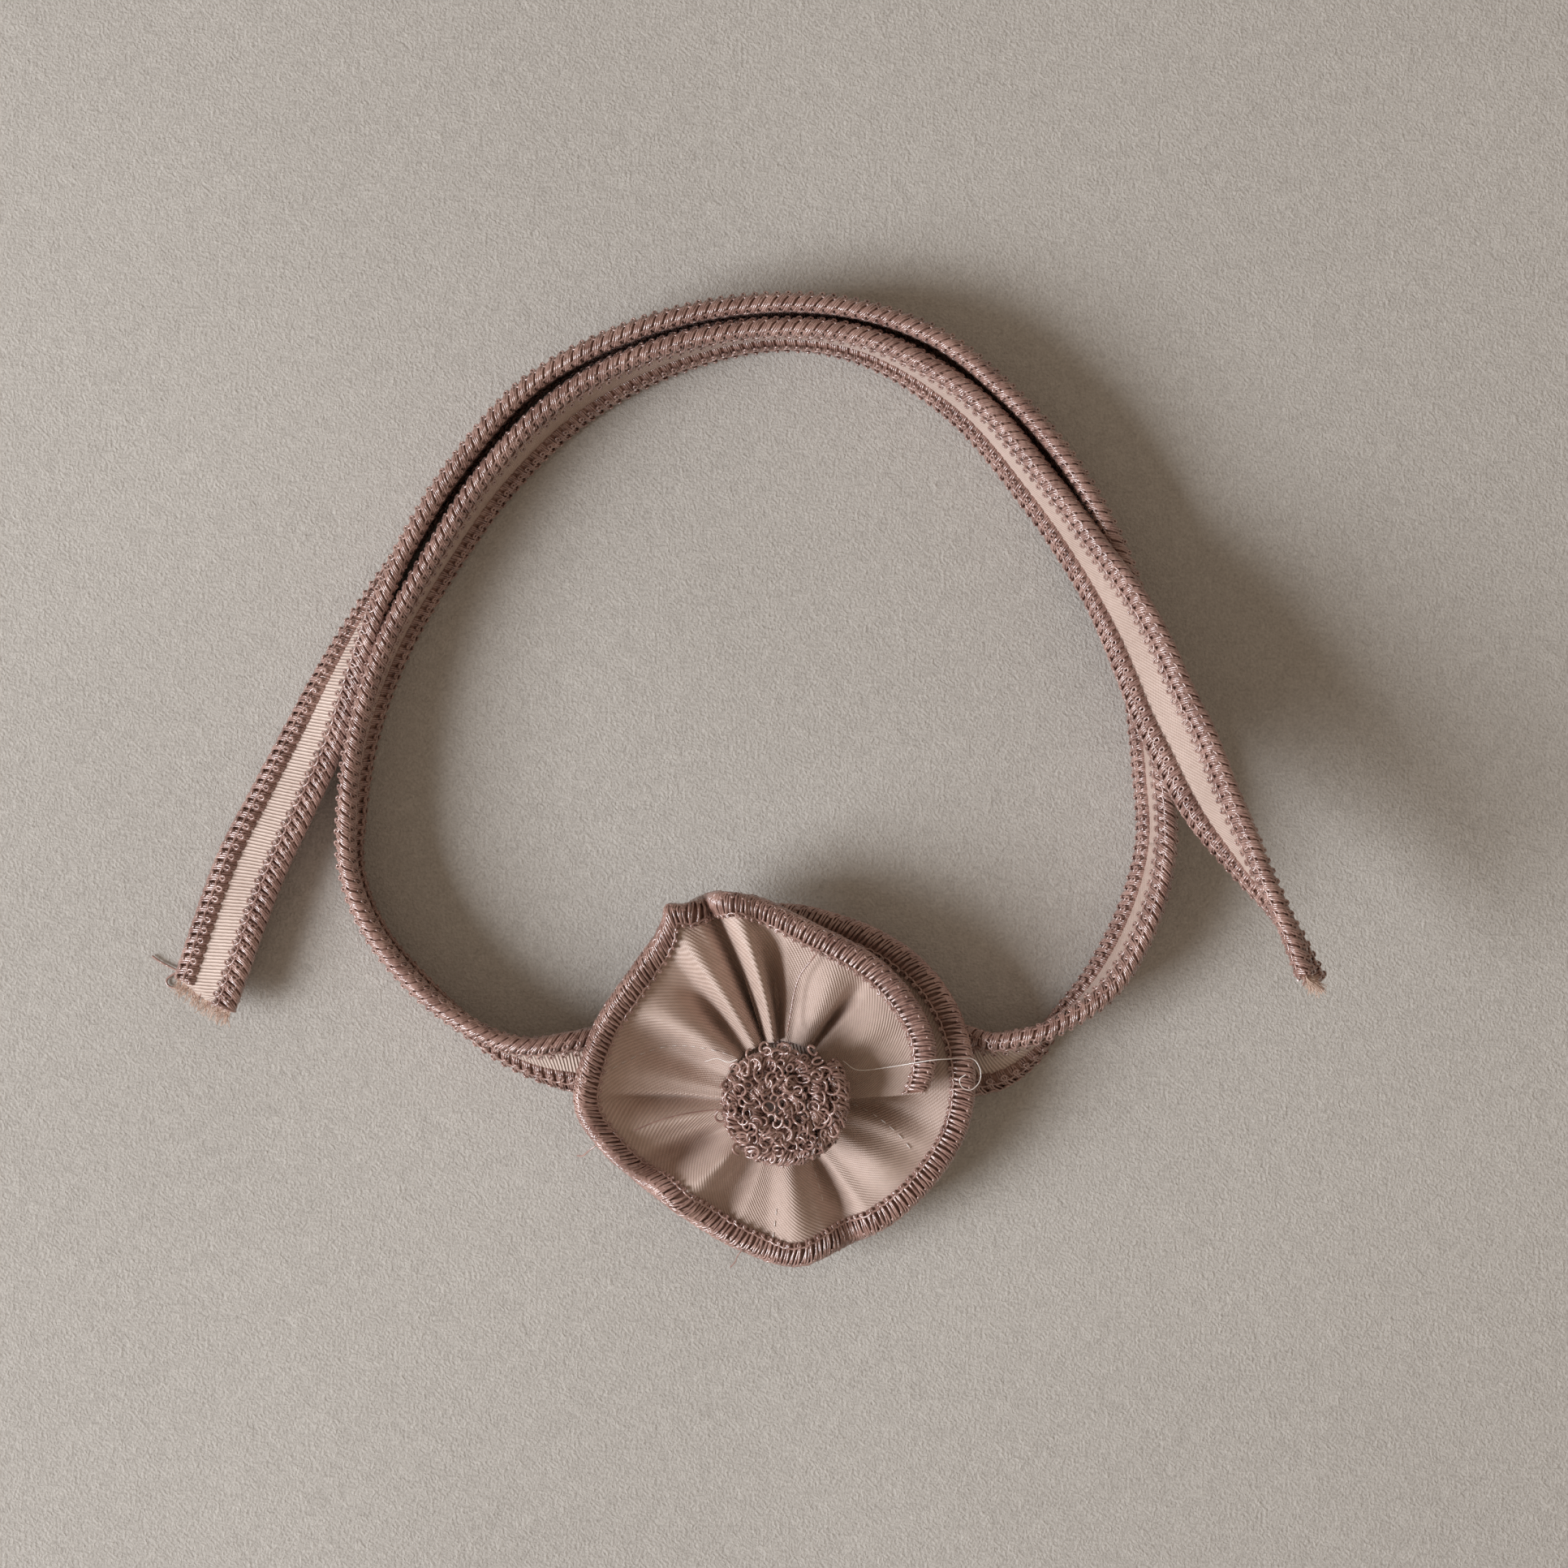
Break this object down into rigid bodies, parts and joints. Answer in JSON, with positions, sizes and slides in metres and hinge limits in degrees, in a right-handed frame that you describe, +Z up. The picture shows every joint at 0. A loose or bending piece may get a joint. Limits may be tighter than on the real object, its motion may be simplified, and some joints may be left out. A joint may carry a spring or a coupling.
{
  "type": "flower crown",
  "caption": "Tie-back flower crown of satin ribbon with overlocked edges: a loop standing on edge, a gathered rosette with a coiled bud, and free ribbon tails.",
  "frame": {"origin": "underside of the felt, below the middle of the ribbon behind the rosette", "axes": "+Z up from the surface that the crown lies on, which is the way the rosette faces at rest; +Y from the rosette toward the far side of the loop; +X to the right when the rosette is nearest"},
  "size_m": [0.1567, 0.1313, 0.0313],
  "materials": {
    "satin": "satin, ribbed crosswise on its outer face",
    "overlock_thread": "glossy polyester thread",
    "sewing_thread": "fine glossy thread",
    "felt": "matte felt"
  },
  "bodies": {
    "band": {"left_arm_ribbon": "satin", "left_arm_upper_overlock": "overlock_thread", "left_arm_lower_overlock": "overlock_thread", "right_arm_ribbon": "satin", "right_arm_upper_overlock": "overlock_thread", "right_arm_lower_overlock": "overlock_thread"},
    "flower": {"centre_ribbon": "satin", "centre_back_overlock": "overlock_thread", "centre_front_overlock": "overlock_thread", "felt_backing": "felt", "ruffle_ribbon": "satin", "ruffle_overlock": "overlock_thread", "gathering_thread": "sewing_thread", "bud_ribbon": "satin", "bud_overlock": "overlock_thread"},
    "left_tail": {"left_tail_ribbon": "satin", "left_tail_upper_overlock": "overlock_thread", "left_tail_lower_overlock": "overlock_thread"},
    "right_tail": {"right_tail_ribbon": "satin", "right_tail_upper_overlock": "overlock_thread", "right_tail_lower_overlock": "overlock_thread"}
  },
  "joints": [
    {"name": "flower_turn", "type": "hinge", "parent": "band", "child": "flower", "pos_m": [0, 0, 0.0026], "axis": [1, 0, 0], "range_deg": [0, 90]},
    {"name": "left_tail_swing", "type": "hinge", "parent": "band", "child": "left_tail", "pos_m": [-0.04392, 0.0807, 0.0055], "axis": [0, 0, -1], "range_deg": [0, 60]},
    {"name": "right_tail_lift", "type": "hinge", "parent": "band", "child": "right_tail", "pos_m": [0.05348, 0.0437, 0.01617], "axis": [-0.5883, -0.4694, -0.6584], "range_deg": [-35, 60]}
  ]
}
